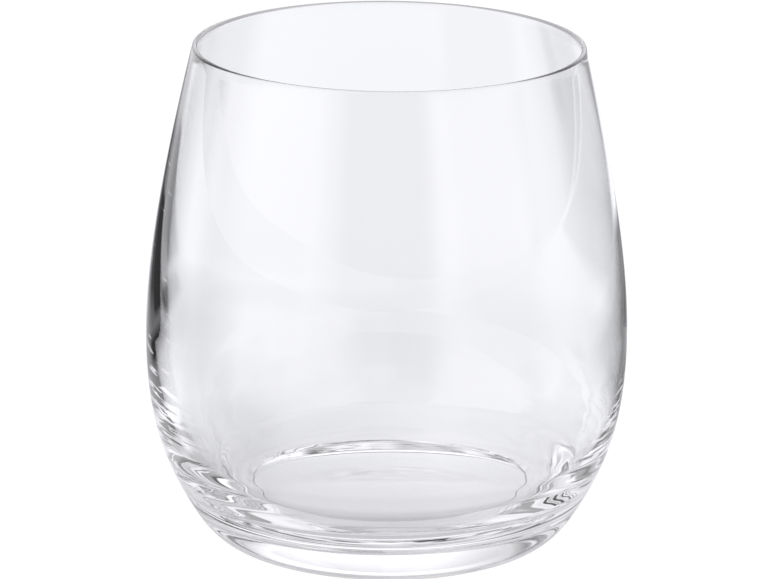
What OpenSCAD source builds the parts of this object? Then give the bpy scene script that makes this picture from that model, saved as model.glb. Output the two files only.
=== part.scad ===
// Stemless wine glass: a thin blown bowl that grows thicker downwards into a heavy clear base.
// The outline is drawn as half a cross-section, from the axis outwards, and turned about +Z.
// The origin is the middle of the table plane that the glass stands on.

/* [Glass] */
// Height from the table to the top of the lip
glass_h = 96; // [88:0.5:104]
// Greatest outside width, across the belly
belly_d = 92.4; // [86:0.2:98]
// Height at which the outside is widest
belly_h = 38.7; // [35:0.1:43]
// Outside width across the lip
lip_d = 74.6; // [70:0.2:79]
// Inward lean of the wall below the lip, in degrees
lip_lean = 13.5; // [8:0.5:18]

/* [Wall] */
// Thickness of the rounded lip
lip_wall = 1.1; // [0.9:0.05:1.6]
// Thickness of the wall at the widest part of the cavity
belly_wall = 2.15; // [1.6:0.05:2.8]
// Height at which the cavity is widest
cavity_h = 41; // [38:0.5:45]

/* [Cavity floor] */
// Thickness of glass under the middle of the cavity
floor_t = 6.8; // [5:0.1:8.5]
// Width of the cavity where its wall turns into its floor
corner_d = 72.8; // [70:0.2:74]
// Height at which the wall of the cavity turns into its floor
corner_h = 12.7; // [11.5:0.1:14]
// Steepness of the cavity at that turn, in degrees from level
corner_slope = 53; // [45:1:60]

/* [Base] */
// Height of the rounded heel
heel_h = 7; // [5:0.25:8.5]
// Outside width across the top of the heel
heel_d = 76.4; // [74:0.2:79]
// Steepness of the outside at the top of the heel, in degrees from level
heel_slope = 60; // [52:1:66]
// Outside width of the ring that the glass stands on
foot_d = 61.2; // [57:0.2:65]
// Width of the flat of that ring
foot_ring_w = 1.3; // [1:0.1:4]
// Depth of the hollow under the base
punt_depth = 0.25; // [0.2:0.05:1.2]
// Width of the rounded step from that hollow down to the ring
punt_edge_w = 0.5; // [0.4:0.1:3]

/* [Zones] */
// Height of the lip zone, measured down from the top
rim_zone_h = 5; // [3:0.5:9]
// Height of the base zone, measured up from the table
base_zone_h = 18; // [15:0.5:24]

/* [Hidden] */

// Facets round the glass, and steps along each kind of curve
$fn = 144;
long_curve_steps = 24;
short_curve_steps = 12;

// Reach of the curve handles, as shares of the height or width that each curve spans
belly_up_share = 0.115;
lip_down_share = 0.65;
belly_down_share = 0.52;
heel_up_share = 0.265;
heel_round_share = 0.42;
cavity_down_share = 0.55;
corner_up_share = 0.25;
corner_in_share = 0.57;
floor_out_share = 0.6;
punt_round_share = 0.5;

lip_r = lip_wall / 2;
lip_centre = [lip_d / 2 - lip_r, glass_h - lip_r];
lip_out = [cos(lip_lean), sin(lip_lean)];
lip_down = [sin(lip_lean), -cos(lip_lean)];
belly_r = belly_d / 2;
cavity_r = belly_r - belly_wall;
corner = [corner_d / 2, corner_h];
corner_up = [cos(corner_slope), sin(corner_slope)];
heel_top = [heel_d / 2, heel_h];
heel_up = [cos(heel_slope), sin(heel_slope)];
foot_r = foot_d / 2;
punt_r = foot_r - foot_ring_w;
clear_glass = [0.86, 0.89, 0.92, 0.45];

// Points of a cubic curve from a to d with handles b and c, without its first point
function curve(a, b, c, d, steps) = [
    for (i = [1:steps])
        let (t = i / steps, s = 1 - t)
            a * s * s * s + 3 * b * s * s * t + 3 * c * s * t * t + d * t * t * t
];

// Hollow under the base: a level ceiling and a rounded step down to the foot ring
function punt() = concat(
    [[0, punt_depth], [punt_r - punt_edge_w, punt_depth]],
    curve(
        [punt_r - punt_edge_w, punt_depth],
        [punt_r - punt_edge_w * punt_round_share, punt_depth],
        [punt_r - punt_edge_w * (1 - punt_round_share), 0],
        [punt_r, 0],
        short_curve_steps
    )
);

// Heel: rounds from the level foot ring up to the slope of the body
function heel() = curve(
    [foot_r, 0],
    [foot_r + (heel_top[0] - foot_r) * heel_round_share, 0],
    heel_top - heel_up * heel_h * heel_round_share,
    heel_top,
    short_curve_steps
);

// Outside of the body: heel to belly, then belly to lip
function outside() = concat(
    curve(
        heel_top,
        heel_top + heel_up * (belly_h - heel_h) * heel_up_share,
        [belly_r, belly_h - (belly_h - heel_h) * belly_down_share],
        [belly_r, belly_h],
        long_curve_steps
    ),
    curve(
        [belly_r, belly_h],
        [belly_r, belly_h + (glass_h - belly_h) * belly_up_share],
        lip_centre + lip_out * lip_r + lip_down * (glass_h - belly_h) * lip_down_share,
        lip_centre + lip_out * lip_r,
        long_curve_steps
    )
);

// Fire-polished lip: half a circle from the outside of the wall over to the inside
function lip() = [
    for (i = [1:short_curve_steps])
        let (a = lip_lean + 180 * i / short_curve_steps)
            lip_centre + [cos(a), sin(a)] * lip_r
];

// Cavity: lip to its widest part, down to where the wall turns, and over the dished floor to the axis
function cavity() = concat(
    curve(
        lip_centre - lip_out * lip_r,
        lip_centre - lip_out * lip_r + lip_down * (glass_h - cavity_h) * lip_down_share,
        [cavity_r, cavity_h + (glass_h - cavity_h) * belly_up_share],
        [cavity_r, cavity_h],
        long_curve_steps
    ),
    curve(
        [cavity_r, cavity_h],
        [cavity_r, cavity_h - (cavity_h - corner_h) * cavity_down_share],
        corner + corner_up * (cavity_h - corner_h) * corner_up_share,
        corner,
        long_curve_steps
    ),
    curve(
        corner,
        corner - corner_up * (corner_h - floor_t) * corner_in_share,
        [corner[0] * floor_out_share, floor_t],
        [0, floor_t],
        long_curve_steps
    )
);

module cross_section() {
    polygon(concat(punt(), [[foot_r, 0]], heel(), outside(), lip(), cavity()));
}

// The glass between two heights, with level faces where it meets the next zone
module zone(low, high) {
    color(clear_glass)
        rotate_extrude()
            intersection() {
                cross_section();
                translate([0, low])
                    square([belly_d, high - low]);
            }
}

// Rounded lip and the thin wall just below it
module rim() {
    zone(glass_h - rim_zone_h, glass_h);
}

// Blown wall, from the thick base up to the lip
module bowl() {
    zone(base_zone_h, glass_h - rim_zone_h);
}

// Heavy base with the floor of the cavity, the heel, the foot ring and the shallow punt
module base() {
    zone(0, base_zone_h);
}

rim();
bowl();
base();
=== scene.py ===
import math

import bpy
import numpy as np
from mathutils import Matrix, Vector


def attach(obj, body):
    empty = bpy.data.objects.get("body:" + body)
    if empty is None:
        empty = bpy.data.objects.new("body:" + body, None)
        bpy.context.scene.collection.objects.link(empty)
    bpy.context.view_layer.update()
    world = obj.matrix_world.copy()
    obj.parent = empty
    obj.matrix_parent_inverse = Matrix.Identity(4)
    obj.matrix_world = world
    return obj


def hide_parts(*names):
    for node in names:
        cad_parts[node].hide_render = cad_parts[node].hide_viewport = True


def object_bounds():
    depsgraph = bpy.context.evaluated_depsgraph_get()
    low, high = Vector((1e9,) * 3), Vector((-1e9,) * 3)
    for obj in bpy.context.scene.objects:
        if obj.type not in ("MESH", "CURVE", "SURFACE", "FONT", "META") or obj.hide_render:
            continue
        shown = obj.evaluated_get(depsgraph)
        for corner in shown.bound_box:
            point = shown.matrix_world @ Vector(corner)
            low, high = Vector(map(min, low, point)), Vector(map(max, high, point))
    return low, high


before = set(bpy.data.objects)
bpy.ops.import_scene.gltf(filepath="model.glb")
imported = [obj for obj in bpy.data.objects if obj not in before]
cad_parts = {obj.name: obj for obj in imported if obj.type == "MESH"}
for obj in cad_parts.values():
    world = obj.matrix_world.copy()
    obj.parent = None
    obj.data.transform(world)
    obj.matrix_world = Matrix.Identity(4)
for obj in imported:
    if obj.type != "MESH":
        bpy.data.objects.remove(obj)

CAD_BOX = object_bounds()

# Lengths are in metres, angles in degrees, and light levels in shares of paper white

# Camera
IMAGE_W = 772
CAMERA_Y = -0.816
CAMERA_X = -0.0002
CAMERA_Z = 0.2905
CAMERA_PITCH = 16.57
CAMERA_ROLL = 0.57
FOCAL_PIXELS = 4439
SENSOR_W = 36
NEAR_CLIP = 0.01

# Outline of the glass, as in the part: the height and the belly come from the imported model
GLASS_H = float(CAD_BOX[1][2])
BELLY_R = float(CAD_BOX[1][0])
BELLY_H = 0.0387
LIP_D = 0.0746
LIP_LEAN = 13.5
LIP_WALL = 0.0011
BELLY_WALL = 0.00215
CAVITY_H = 0.041
FLOOR_T = 0.0068
CORNER_D = 0.0728
CORNER_H = 0.0127
CORNER_SLOPE = 53
HEEL_H = 0.007
HEEL_D = 0.0764
HEEL_SLOPE = 60
FOOT_D = 0.0612
FOOT_RING_W = 0.0013
PUNT_DEPTH = 0.00025
PUNT_EDGE_W = 0.0005

# Reach of the curve handles, as shares of the height or width that each curve spans
BELLY_UP_SHARE = 0.115
LIP_DOWN_SHARE = 0.65
BELLY_DOWN_SHARE = 0.52
HEEL_UP_SHARE = 0.265
HEEL_ROUND_SHARE = 0.42
CAVITY_DOWN_SHARE = 0.55
CORNER_UP_SHARE = 0.25
CORNER_IN_SHARE = 0.57
FLOOR_OUT_SHARE = 0.6
PUNT_ROUND_SHARE = 0.5

# Blown glass is never quite even: its cavity leans a little towards one side of the foot, more
# and more from the lip down to the height given last
CAVITY_SHIFT = 0.00167
CAVITY_TILT = 0.016
LEAN_FREE_H = 0.010

# Fine ripples that the mould leaves in the thick lower part: depth, pitch in height, and the
# heights between which they show
CAVITY_RIPPLE = 0.000008
CAVITY_RIPPLE_PITCH = 0.0030
CAVITY_RIPPLE_LOW_H = 0.016
OUTSIDE_RIPPLE = 0.000004
OUTSIDE_RIPPLE_PITCH = 0.0041
OUTSIDE_RIPPLE_LOW_H = 0.008
RIPPLE_HIGH_H = 0.020
RIPPLE_FADE_H = 0.005
# How a ripple climbs on its way round: reach, waves round the glass, and start of each wave
RIPPLE_WAVES = ((1.5, 1, 2.0), (0.8, 2, 1.0))

# Slow changes of the wall's thickness: depth, and the height over which they fade out
CAVITY_WOBBLE = 0.00004
WOBBLE_FADE_H = 0.020
# Their waves: reach, waves round the glass, start, and how far they turn on the way up
WOBBLE_WAVES = ((0.6, 2, 2.9, -3), (0.5, 3, 0.5, 4), (0.3, 5, 1.9, -6))

# Steps along each curve, across the lip, and round the glass
CURVE_STEPS = 60
PUNT_STEPS = 12
LIP_STEPS = 16
ROUND_STEPS = 240

# Glass
GLASS_IOR = 1.5
# A ray trapped in the glass leaves off after this many mirror bounces, or this many in all,
# which is just before the renderer would end it in black
MIRROR_BOUNCES = 3.5
ALL_BOUNCES = 11.5
# What a trapped ray shows: a painted glow in bright and dark streaks, standing in for the light
# that runs round in the wall
STREAK_LENGTH = 0.014
STREAK_WIDTH = 0.0011
STREAK_DETAIL = 3
STREAK_BEND = 0.4
# Levels of the bright and the dark streaks, each where the slow drift is low and high
STREAK_BRIGHT = (0.55, 1.15)
STREAK_DARK = (0.04, 0.50)
# Share of the noise that is dark, and width of the soft edges in it
STREAK_DARK_SHARE = 0.45
STREAK_SOFT = 0.035
# Slow drift along the streaks: its size, the middle of its noise and how softly that turns
DRIFT_SIZE = 0.008
DRIFT_DETAIL = 1
DRIFT_MIDDLE = 0.5
DRIFT_SOFT = 0.30

# Little of this painted glow is left up the two sides of the wall, as painted shade: how far
# across they begin, the middle and the length of the climb in height, and softness
LOST_X = 0.032
LOST_MIDDLE_H = 0.025
LOST_CLIMB_H = 0.024
LOST_FADE = 0.006
# Nor is it left in a patch of painted shade on the outside, low at the back
LOST_BACK_X = (-0.020, -0.006)
LOST_BACK_H = (0.016, 0.030)
LOST_BACK_Y = 0.0408
LOST_BACK_FADE = 0.002
# Level and share of the dark streaks there, and how much sooner the level falls than the share
LOST_LEVEL = 0.03
LOST_DARK_SHARE = 0.68
LOST_HASTE = 3

# Level of this painted glow in the lip at its back and front, where the lip and its back begin,
# and softness of the turn
LIP_BACK_LEVEL = 0.5
LIP_FRONT_LEVEL = 0.08
LIP_LOW_H = 0.080
LIP_BACK_Y = -0.004
LIP_BACK_FADE = 0.016

# Paper on the floor: height, half of its width, its own colour, the level that the camera sees
# and how much of it takes the shadow
FLOOR_Z = -0.00005
FLOOR_HALF = 2.0
FLOOR_COLOUR = (0.9, 0.9, 0.92, 1)
FLOOR_SEEN_LEVEL = 1.08
FLOOR_SHADOW_SHARE = 0.10
# The same paper through the glass: level and tint, and how much of it is shaded and shiny
FLOOR_LEVEL = 1.18
FLOOR_TINT = (0.957, 0.963, 1.0, 1)
FLOOR_SHADE_SHARE = 0.05
FLOOR_SHINE_SHARE = 0.02
FLOOR_SHINE_ROUGHNESS = 0.2

# Air round the set, through the glass
SKY_LEVEL = 0.68
SKY_TINT = (0.975, 0.962, 1.0, 1)

WHITE = (1, 1, 1, 1)

# Cards round the set: azimuth from, to (0 behind the glass, 90 right), height angle from, to,
# light level and width of the soft edge
SKY_CARDS = (
    (-100, -35, -30, 40, 0, 8),  # black card behind on the left
    (-20, 35, -30, 25, 1.35, 20),  # bright backdrop
    (45, 75, -30, 50, 0, 10),  # black card behind on the right
    (-145, -75, -20, 20, 1.35, 10),  # low light box in front on the left
    (105, 155, -20, 15, 1.35, 8),  # low light box in front on the right
    (25, 155, 45, 70, 1.35, 8),  # high light box on the right
    (130, 185, 60, 80, 0, 8),  # black card over the camera
    (-150, -85, 20, 75, 1.35, 8),  # high light box on the left
    (-200, -155, -20, 45, 0, 8),  # dark room left of the camera
    (160, 200, -20, 35, 0, 8),  # dark room right of the camera
    (-105, -85, 10, 20, 0.45, 8),  # grey frame of the low light box on the left
    (-60, 50, -30, 5, 0, 8),  # dark edge of the table
)

# Light and shade on the floor, seen only through the glass: azimuth from, to, radius from, to,
# light level, and widths of the soft edges in azimuth and radius
FLOOR_POOLS = (
    (-175, -80, 0.01, 2.5, 0.55, 12, 0.045),  # shade on the left
    (115, 185, 0.04, 2.5, 1.1, 10, 0.045),  # light in front on the right
    (-200, -135, 0.02, 2.5, 1.1, 10, 0.05),  # light in front on the left
    (160, 200, 0.2, 2.5, 0.75, 12, 0.05),  # shade of the camera
    (-200, 200, -0.05, 0.055, 0.6, 10, 0.045),  # shade under and round the glass
)

# Painted shade and painted light on the floor, seen only through the glass, in dark and bright
# patches: x from, to, y from, to, light level and width of the soft edge
FLOOR_PAINTED_PATCHES = (
    (-0.19, 0.04, 0.1, 0.5, 0, 0.135),  # wide patch of painted shade behind the glass
    (0.06, 0.2, 0.04, 0.26, 0.25, 0.04),  # patch of painted shade on the right
    (0.2, 1.6, 0.14, 1.6, 0.35, 0.04),  # patch of painted shade far on the right
    (-0.1, 0.07, 0.12, 0.72, 0.98, 0.055),  # patch of painted light over the painted shade
    (-0.05, -0.02, 0.07, 0.14, 1.15, 0.04),  # bright patch of painted light behind the glass
    (-0.02, 0.04, 0, 0.17, 0.92, 0.055),  # patch of painted light under the glass
    (-0.18, -0.1, 0.08, 0.11, 0, 0.015),  # small patch of painted shade on the left
    (-0.21, -0.14, 0.13, 0.3, 0, 0.015),  # long patch of painted shade further left
)


class NodeTree:
    """Adds nodes to one material or world and links them."""

    def __init__(self, owner):
        owner.use_nodes = True
        self.nodes = owner.node_tree.nodes
        self.links = owner.node_tree.links
        self.nodes.clear()

    def add(self, kind, **settings):
        node = self.nodes.new(kind)
        for name, value in settings.items():
            setattr(node, name, value)
        return node

    def feed(self, socket, value):
        if isinstance(value, bpy.types.NodeSocket):
            self.links.new(value, socket)
        else:
            socket.default_value = value

    def math(self, operation, first, second=None, clamp=False):
        node = self.add("ShaderNodeMath", operation=operation, use_clamp=clamp)
        self.feed(node.inputs[0], first)
        if second is not None:
            self.feed(node.inputs[1], second)
        return node.outputs[0]

    def mix(self, share, first, second):
        node = self.add("ShaderNodeMix", data_type="FLOAT")
        self.feed(node.inputs[0], share)
        self.feed(node.inputs[2], first)
        self.feed(node.inputs[3], second)
        return node.outputs[0]

    def mix_colour(self, share, first, second):
        node = self.add("ShaderNodeMix", data_type="RGBA")
        self.feed(node.inputs[0], share)
        self.feed(node.inputs[6], first)
        self.feed(node.inputs[7], second)
        return node.outputs[2]

    def mix_shader(self, share, first, second):
        node = self.add("ShaderNodeMixShader")
        self.feed(node.inputs[0], share)
        self.feed(node.inputs[1], first)
        self.feed(node.inputs[2], second)
        return node.outputs[0]

    def emission(self, colour, level):
        node = self.add("ShaderNodeEmission")
        self.feed(node.inputs["Color"], colour)
        self.feed(node.inputs["Strength"], level)
        return node.outputs[0]

    def rise(self, value, low, soft):
        """0 below low and 1 above it, with a turn of the soft width between them."""
        share = self.math("DIVIDE", self.math("SUBTRACT", value, low), soft)
        return self.math("ADD", share, 0.5, clamp=True)

    def band(self, value, low, high, soft):
        """1 between low and high, falling to 0 over the soft width at each end."""
        fall = self.math("DIVIDE", self.math("SUBTRACT", high, value), soft)
        fall = self.math("ADD", fall, 0.5, clamp=True)
        return self.math("MULTIPLY", self.rise(value, low, soft), fall)

    def surface(self, shader, output="ShaderNodeOutputMaterial"):
        self.links.new(shader, self.add(output).inputs[0])


def add_camera():
    camera = bpy.data.cameras.new("camera")
    camera.sensor_width = SENSOR_W
    camera.lens = FOCAL_PIXELS / IMAGE_W * SENSOR_W
    camera.clip_start = NEAR_CLIP
    holder = bpy.data.objects.new("camera", camera)
    bpy.context.scene.collection.objects.link(holder)
    holder.location = (CAMERA_X, CAMERA_Y, CAMERA_Z)
    pitch = Matrix.Rotation(math.radians(90 - CAMERA_PITCH), 4, "X")
    roll = Matrix.Rotation(math.radians(CAMERA_ROLL), 4, "Z")
    holder.rotation_euler = (pitch @ roll).to_euler()
    bpy.context.scene.camera = holder


def curve(a, b, c, d, steps=CURVE_STEPS):
    """Points of a cubic curve from a to d with handles b and c, without its first point."""
    t = (np.arange(1, steps + 1) / steps)[:, None]
    s = 1 - t
    a, b, c, d = (np.array(p, dtype=float) for p in (a, b, c, d))
    return a * s**3 + 3 * b * s * s * t + 3 * c * s * t * t + d * t**3


def along(angle):
    return np.array([math.cos(math.radians(angle)), math.sin(math.radians(angle))])


def outside_outline():
    """Underside and outside of the glass, from the axis out and up to the lip."""
    foot_r = FOOT_D / 2
    punt_r = foot_r - FOOT_RING_W
    edge = punt_r - PUNT_EDGE_W
    heel_top = np.array([HEEL_D / 2, HEEL_H])
    heel_up = along(HEEL_SLOPE)
    lip_r = LIP_WALL / 2
    lip_outer = lip_centre() + along(LIP_LEAN) * lip_r
    lip_down = along(LIP_LEAN - 90)
    below = BELLY_H - HEEL_H
    above = GLASS_H - BELLY_H
    return np.vstack([
        curve([0, PUNT_DEPTH], [edge / 3, PUNT_DEPTH], [edge * 2 / 3, PUNT_DEPTH],
              [edge, PUNT_DEPTH], PUNT_STEPS),
        curve([edge, PUNT_DEPTH], [edge + PUNT_EDGE_W * PUNT_ROUND_SHARE, PUNT_DEPTH],
              [punt_r - PUNT_EDGE_W * PUNT_ROUND_SHARE, 0], [punt_r, 0], PUNT_STEPS),
        [[foot_r, 0]],
        curve([foot_r, 0], [foot_r + (heel_top[0] - foot_r) * HEEL_ROUND_SHARE, 0],
              heel_top - heel_up * HEEL_H * HEEL_ROUND_SHARE, heel_top),
        curve(heel_top, heel_top + heel_up * below * HEEL_UP_SHARE,
              [BELLY_R, BELLY_H - below * BELLY_DOWN_SHARE], [BELLY_R, BELLY_H]),
        curve([BELLY_R, BELLY_H], [BELLY_R, BELLY_H + above * BELLY_UP_SHARE],
              lip_outer + lip_down * above * LIP_DOWN_SHARE, lip_outer),
    ])


def lip_centre():
    return np.array([LIP_D / 2 - LIP_WALL / 2, GLASS_H - LIP_WALL / 2])


def lip_outline():
    """Fire-polished lip: half a circle from the outside over to the inside."""
    turns = LIP_LEAN + 180 * np.arange(1, LIP_STEPS + 1) / LIP_STEPS
    return np.array([lip_centre() + along(turn) * LIP_WALL / 2 for turn in turns])


def cavity_outline():
    """Cavity from the lip down its wall and over the dished floor to the axis."""
    cavity_r = BELLY_R - BELLY_WALL
    lip_inner = lip_centre() - along(LIP_LEAN) * LIP_WALL / 2
    lip_down = along(LIP_LEAN - 90)
    corner = np.array([CORNER_D / 2, CORNER_H])
    corner_up = along(CORNER_SLOPE)
    above = GLASS_H - CAVITY_H
    below = CAVITY_H - CORNER_H
    return np.vstack([
        curve(lip_inner, lip_inner + lip_down * above * LIP_DOWN_SHARE,
              [cavity_r, CAVITY_H + above * BELLY_UP_SHARE], [cavity_r, CAVITY_H]),
        curve([cavity_r, CAVITY_H], [cavity_r, CAVITY_H - below * CAVITY_DOWN_SHARE],
              corner + corner_up * below * CORNER_UP_SHARE, corner),
        curve(corner, corner - corner_up * (CORNER_H - FLOOR_T) * CORNER_IN_SHARE,
              [corner[0] * FLOOR_OUT_SHARE, FLOOR_T], [0, FLOOR_T]),
    ])


def window(height, low, high, fade):
    """1 between two heights, falling smoothly to 0 over the fade on each side."""
    rise = min(max((height - low) / fade + 1, 0), 1)
    fall = min(max((high - height) / fade + 1, 0), 1)
    share = min(rise, fall)
    return share * share * (3 - 2 * share)


def ripple(turn, height, pitch):
    """One ring of the ripples, from -1 to 1."""
    climb = sum(reach * np.sin(waves * turn + start) for reach, waves, start in RIPPLE_WAVES)
    return np.sin(2 * math.pi * height / pitch + climb)


def wobble(turn, height):
    """One ring of the slow changes, from about -1 to 1."""
    return sum(
        reach * np.sin(waves * turn + start + climb * height / GLASS_H)
        for reach, waves, start, climb in WOBBLE_WAVES
    )


def unevenness(turn, height, share):
    """How far the skin stands out from its even outline, all the way round one ring."""
    seen = window(height, OUTSIDE_RIPPLE_LOW_H, RIPPLE_HIGH_H, RIPPLE_FADE_H)
    outside = -OUTSIDE_RIPPLE * seen * (1 + ripple(turn, height, OUTSIDE_RIPPLE_PITCH))
    seen = window(height, CAVITY_RIPPLE_LOW_H, RIPPLE_HIGH_H, RIPPLE_FADE_H)
    cavity = CAVITY_RIPPLE * seen * ripple(turn, height, CAVITY_RIPPLE_PITCH)
    free = window(height, FLOOR_T + WOBBLE_FADE_H, GLASS_H - WOBBLE_FADE_H, WOBBLE_FADE_H)
    cavity = cavity + CAVITY_WOBBLE * free * wobble(turn, height)
    return outside * (1 - share) + cavity * share


def ring_points(outline, inner_share):
    """Turns each outline point into a ring, leaning by its share of the cavity's shift."""
    turn = 2 * math.pi * np.arange(ROUND_STEPS) / ROUND_STEPS
    travel = np.gradient(outline, axis=0)
    travel = travel / np.linalg.norm(travel, axis=1)[:, None]
    rings = []
    for (radius, height), (out, up), share in zip(outline, travel, inner_share):
        lean = share * min(max((GLASS_H - height) / (GLASS_H - LEAN_FREE_H), 0), 1)
        proud = unevenness(turn, height, share)
        reach = radius + up * proud
        x = reach * np.cos(turn)
        y = reach * np.sin(turn)
        z = height - out * proud + lean * CAVITY_TILT * x
        rings.append(np.stack([x + lean * CAVITY_SHIFT, y, z], 1))
    return np.vstack(rings)


def add_glass():
    """One closed skin: underside, outside, lip and cavity."""
    outside = outside_outline()
    lip = lip_outline()
    cavity = cavity_outline()[:-1]
    outline = np.vstack([outside, lip, cavity])
    inner_share = np.concatenate([
        np.zeros(len(outside)), np.linspace(0, 1, len(lip)), np.ones(len(cavity))
    ])
    points = ring_points(outline, inner_share)
    rings = len(outline)
    index = np.arange(rings * ROUND_STEPS).reshape(rings, ROUND_STEPS)
    following = np.roll(index, -1, axis=1)
    quads = np.stack([index[:-1], following[:-1], following[1:], index[1:]], -1).reshape(-1, 4)
    under = len(points)
    floor = under + 1
    caps = [(under, int(b), int(a)) for a, b in zip(index[0], following[0])]
    caps += [(floor, int(a), int(b)) for a, b in zip(index[-1], following[-1])]
    points = np.vstack([points, [[0, 0, PUNT_DEPTH]], [[CAVITY_SHIFT, 0, FLOOR_T]]])
    mesh = bpy.data.meshes.new("glass_body")
    mesh.from_pydata(points.tolist(), [], quads.tolist() + caps)
    mesh.polygons.foreach_set("use_smooth", [True] * len(mesh.polygons))
    mesh.update()
    mesh.materials.append(glass_material())
    glass = bpy.data.objects.new("glass_body", mesh)
    bpy.context.scene.collection.objects.link(glass)
    return glass


def noise(tree, place, sizes, detail, distortion=0):
    """Soft noise from 0 to 1 with one feature size along each axis."""
    stretch = tree.add("ShaderNodeMapping")
    tree.links.new(place, stretch.inputs["Vector"])
    stretch.inputs["Scale"].default_value = [1 / size for size in sizes]
    pattern = tree.add("ShaderNodeTexNoise")
    tree.links.new(stretch.outputs[0], pattern.inputs["Vector"])
    pattern.inputs["Scale"].default_value = 1
    pattern.inputs["Detail"].default_value = detail
    pattern.inputs["Distortion"].default_value = distortion
    return pattern.outputs[0]


def painted_glow_level(tree):
    """Level of the painted glow that stands in for the light running round in the wall, where a
    trapped ray leaves off.
    """
    place = tree.add("ShaderNodeTexCoord").outputs["Object"]
    split = tree.add("ShaderNodeSeparateXYZ")
    tree.links.new(place, split.inputs[0])
    x, y, z = split.outputs
    sizes = (STREAK_LENGTH, STREAK_LENGTH, STREAK_WIDTH)
    streaks = noise(tree, place, sizes, STREAK_DETAIL, STREAK_BEND)
    drift = noise(tree, place, [DRIFT_SIZE] * 3, DRIFT_DETAIL)
    drift = tree.rise(drift, DRIFT_MIDDLE, DRIFT_SOFT)
    side = tree.rise(tree.math("ABSOLUTE", x), LOST_X, LOST_FADE)
    side = tree.math("MULTIPLY", side, tree.rise(z, LOST_MIDDLE_H, LOST_CLIMB_H))
    back = tree.math(
        "MULTIPLY", tree.band(x, *LOST_BACK_X, LOST_FADE), tree.band(z, *LOST_BACK_H, LOST_FADE)
    )
    back = tree.math("MULTIPLY", back, tree.rise(y, LOST_BACK_Y, LOST_BACK_FADE))
    # Painted shade: the glow is darker up the sides and in a patch low at the back
    lost = tree.math("MAXIMUM", side, back)
    dark_share = tree.mix(lost, STREAK_DARK_SHARE, LOST_DARK_SHARE)
    bright = tree.rise(streaks, dark_share, STREAK_SOFT)
    lost_fast = tree.math("MULTIPLY", lost, LOST_HASTE, clamp=True)
    dark_level = tree.mix(lost_fast, tree.mix(drift, *STREAK_DARK), LOST_LEVEL)
    level = tree.mix(bright, dark_level, tree.mix(drift, *STREAK_BRIGHT))
    to_back = tree.rise(y, LIP_BACK_Y, LIP_BACK_FADE)
    lip_level = tree.mix(to_back, LIP_FRONT_LEVEL, LIP_BACK_LEVEL)
    return tree.mix(tree.rise(z, LIP_LOW_H, LOST_FADE), level, lip_level)


def glass_material():
    material = bpy.data.materials.new("clear_glass")
    tree = NodeTree(material)
    glass = tree.add("ShaderNodeBsdfPrincipled")
    glass.inputs["Base Color"].default_value = WHITE
    glass.inputs["Roughness"].default_value = 0
    glass.inputs["IOR"].default_value = GLASS_IOR
    glass.inputs["Transmission Weight"].default_value = 1
    path = tree.add("ShaderNodeLightPath")
    trapped = tree.math(
        "MAXIMUM",
        tree.math("GREATER_THAN", path.outputs["Glossy Depth"], MIRROR_BOUNCES),
        tree.math("GREATER_THAN", path.outputs["Ray Depth"], ALL_BOUNCES),
    )
    # Trapped rays end in a painted glow of bright and dark streaks, standing in for light running
    # round in the wall
    painted_glow = tree.emission(SKY_TINT, painted_glow_level(tree))
    tree.surface(tree.mix_shader(trapped, glass.outputs[0], painted_glow))
    return material


def paint_cards(tree, level, across, up, cards):
    """Lays cards over a plain level, each with its last width for soft edges up, if it has two."""
    for left, right, low, high, card_level, soft_across, *soft_up in cards:
        share = tree.math(
            "MULTIPLY",
            tree.band(across, left, right, soft_across),
            tree.band(up, low, high, soft_up[0] if soft_up else soft_across),
        )
        level = tree.mix(share, level, card_level)
    return level


def studio_world():
    world = bpy.data.worlds.new("studio")
    bpy.context.scene.world = world
    tree = NodeTree(world)
    split = tree.add("ShaderNodeSeparateXYZ")
    tree.links.new(tree.add("ShaderNodeTexCoord").outputs["Generated"], split.inputs[0])
    azimuth = tree.math("ARCTAN2", split.outputs[0], split.outputs[1])
    height = tree.math("ARCSINE", split.outputs[2])
    azimuth = tree.math("DEGREES", azimuth)
    height = tree.math("DEGREES", height)
    level = paint_cards(tree, SKY_LEVEL, azimuth, height, SKY_CARDS)
    seen = tree.add("ShaderNodeLightPath").outputs["Is Camera Ray"]
    back = tree.add("ShaderNodeBackground")
    tree.links.new(tree.mix_colour(seen, SKY_TINT, WHITE), back.inputs[0])
    tree.links.new(tree.mix(seen, level, 1.0), back.inputs[1])
    tree.surface(back.outputs[0], "ShaderNodeOutputWorld")


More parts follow.
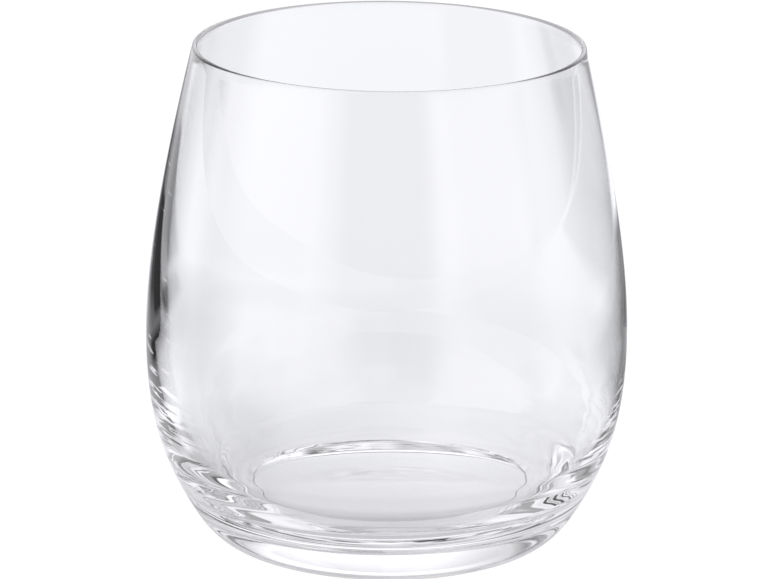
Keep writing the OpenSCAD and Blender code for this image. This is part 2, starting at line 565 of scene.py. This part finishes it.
def floor_material():
    """White paper that shows only a faint shadow, and a level of its own through the glass, with
    pools and patches of painted light and shade.
    """
    material = bpy.data.materials.new("floor_paper")
    tree = NodeTree(material)
    lit = tree.add("ShaderNodeBsdfDiffuse")
    lit.inputs["Color"].default_value = FLOOR_COLOUR
    seen = tree.mix_shader(
        FLOOR_SHADOW_SHARE, tree.emission(WHITE, FLOOR_SEEN_LEVEL), lit.outputs[0]
    )
    split = tree.add("ShaderNodeSeparateXYZ")
    tree.links.new(tree.add("ShaderNodeTexCoord").outputs["Object"], split.inputs[0])
    x, y = split.outputs[0], split.outputs[1]
    azimuth = tree.math("DEGREES", tree.math("ARCTAN2", x, y))
    squares = tree.math("ADD", tree.math("MULTIPLY", x, x), tree.math("MULTIPLY", y, y))
    radius = tree.math("SQRT", squares)
    level = paint_cards(tree, FLOOR_LEVEL, azimuth, radius, FLOOR_POOLS)
    # Patches of painted shade and painted light, seen only through the glass
    level = paint_cards(tree, level, x, y, FLOOR_PAINTED_PATCHES)
    bent = tree.mix_shader(
        FLOOR_SHADE_SHARE, tree.emission(FLOOR_TINT, level), lit.outputs[0]
    )
    shine = tree.add("ShaderNodeBsdfGlossy")
    shine.inputs["Roughness"].default_value = FLOOR_SHINE_ROUGHNESS
    shine.inputs["Color"].default_value = WHITE
    bent = tree.mix_shader(FLOOR_SHINE_SHARE, bent, shine.outputs[0])
    camera_ray = tree.add("ShaderNodeLightPath").outputs["Is Camera Ray"]
    tree.surface(tree.mix_shader(camera_ray, bent, seen))
    return material


def add_floor():
    half = FLOOR_HALF
    corners = [(-half, -half, FLOOR_Z), (half, -half, FLOOR_Z), (half, half, FLOOR_Z),
               (-half, half, FLOOR_Z)]
    mesh = bpy.data.meshes.new("floor")
    mesh.from_pydata(corners, [], [(0, 1, 2, 3)])
    mesh.materials.append(floor_material())
    floor = bpy.data.objects.new("floor", mesh)
    bpy.context.scene.collection.objects.link(floor)


def main():
    scene = bpy.context.scene
    scene.view_settings.view_transform = "Standard"
    add_camera()
    studio_world()
    add_floor()
    glass = add_glass()
    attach(glass, "root")
    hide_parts("rim", "bowl", "base")


main()
